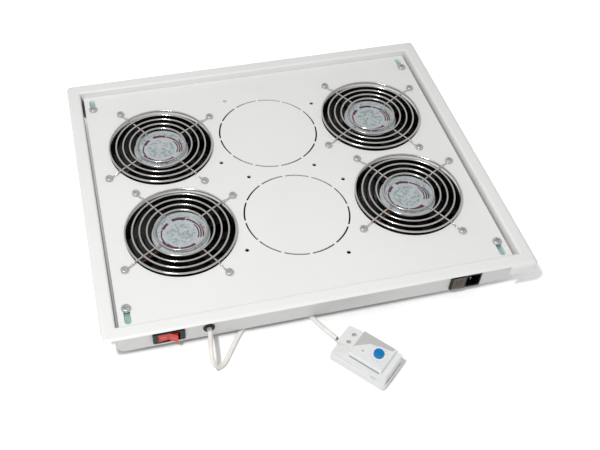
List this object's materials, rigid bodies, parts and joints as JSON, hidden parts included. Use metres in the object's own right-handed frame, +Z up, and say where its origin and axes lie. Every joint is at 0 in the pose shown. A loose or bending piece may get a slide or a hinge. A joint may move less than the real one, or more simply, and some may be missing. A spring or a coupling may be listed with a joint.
{
  "type": "rack fan tray",
  "caption": "Flat fan tray for a server rack: folded frame, plate with axial fans under wire guards and round knock-outs, switch, mains inlet, and a thermostat on a short cable.",
  "frame": {"origin": "on the ground, under the middle of the tray's outline", "axes": "+Z up, +X along the front wall to the right, +Y to the back; the wall with switch and inlet faces -Y"},
  "size_m": [0.444, 0.4551, 0.048],
  "materials": {
    "black_fan": "satin",
    "black_plastic": "satin",
    "black_rubber": "matt",
    "blue_plastic": "gloss",
    "bright_steel": "bright zinc",
    "brown_plastic": "satin",
    "brown_wire": "satin",
    "chromed_wire": "bright plated wire",
    "fuse_ceramic": "smooth",
    "grey_plastic": "satin",
    "painted_sheet": "fine satin light grey paint",
    "pale_plastic": "satin",
    "red_plastic": "gloss",
    "shaft_steel": "turned",
    "silver_cover": "satin",
    "stator_steel": "laminated",
    "tinned_brass": "tinned",
    "white_cable": "smooth sheath"
  },
  "bodies": {
    "tray": {"cable_core": "brown_wire", "cable_grommet": "black_rubber", "control_cable": "white_cable", "corner_nuts": "bright_steel", "corner_screws": "bright_steel", "dial_scale": "pale_plastic", "fan_bearings_1": "shaft_steel", "fan_bearings_2": "shaft_steel", "fan_bearings_3": "shaft_steel", "fan_bearings_4": "shaft_steel", "fan_housing_1": "black_fan", "fan_housing_2": "black_fan", "fan_housing_3": "black_fan", "fan_housing_4": "black_fan", "fan_leads": "brown_wire", "fan_plate": "painted_sheet", "fan_stator_1": "stator_steel", "fan_stator_2": "stator_steel", "fan_stator_3": "stator_steel", "fan_stator_4": "stator_steel", "finger_guard_1": "chromed_wire", "finger_guard_2": "chromed_wire", "finger_guard_3": "chromed_wire", "finger_guard_4": "chromed_wire", "guard_nuts": "bright_steel", "guard_screws": "bright_steel", "hub_cover_1": "silver_cover", "hub_cover_2": "silver_cover", "hub_cover_3": "silver_cover", "hub_cover_4": "silver_cover", "inlet_contacts": "tinned_brass", "inlet_housing": "black_plastic", "mounting_frame": "painted_sheet", "rail_clip": "grey_plastic", "switch_body": "black_plastic", "switch_terminals": "tinned_brass", "terminal_screws": "bright_steel", "thermostat_base": "pale_plastic", "thermostat_cover": "pale_plastic"},
    "rotor_1": {"fan_rotor_1": "black_fan", "fan_shaft_1": "shaft_steel"},
    "rotor_2": {"fan_rotor_2": "black_fan", "fan_shaft_2": "shaft_steel"},
    "rotor_3": {"fan_rotor_3": "black_fan", "fan_shaft_3": "shaft_steel"},
    "rotor_4": {"fan_rotor_4": "black_fan", "fan_shaft_4": "shaft_steel"},
    "rocker": {"switch_rocker": "red_plastic"},
    "drawer": {"fuse_drawer": "brown_plastic", "fuse": "fuse_ceramic"},
    "dial": {"thermostat_dial": "blue_plastic"}
  },
  "joints": [
    {"name": "fan_spin_1", "type": "hinge", "parent": "tray", "child": "rotor_1", "pos_m": [-0.126, 0.0672, 0.02], "axis": [0, 0, 1], "continuous": true},
    {"name": "fan_spin_2", "type": "hinge", "parent": "tray", "child": "rotor_2", "pos_m": [0.126, 0.0672, 0.02], "axis": [0, 0, 1], "continuous": true},
    {"name": "fan_spin_3", "type": "hinge", "parent": "tray", "child": "rotor_3", "pos_m": [-0.126, -0.0628, 0.02], "axis": [0, 0, 1], "continuous": true},
    {"name": "fan_spin_4", "type": "hinge", "parent": "tray", "child": "rotor_4", "pos_m": [0.126, -0.0628, 0.02], "axis": [0, 0, 1], "continuous": true},
    {"name": "rocker_tilt", "type": "hinge", "parent": "tray", "child": "rocker", "pos_m": [-0.158, -0.171, 0.019], "axis": [0, 0, 1], "range_deg": [0, 24]},
    {"name": "drawer_slide", "type": "slide", "parent": "tray", "child": "drawer", "axis": [0, -1, 0], "range_m": [0, 0.015]},
    {"name": "dial_turn", "type": "hinge", "parent": "tray", "child": "dial", "pos_m": [0.03249, -0.24343, 0.0285], "axis": [0, 0, 1], "range_deg": [-150, 150]}
  ]
}
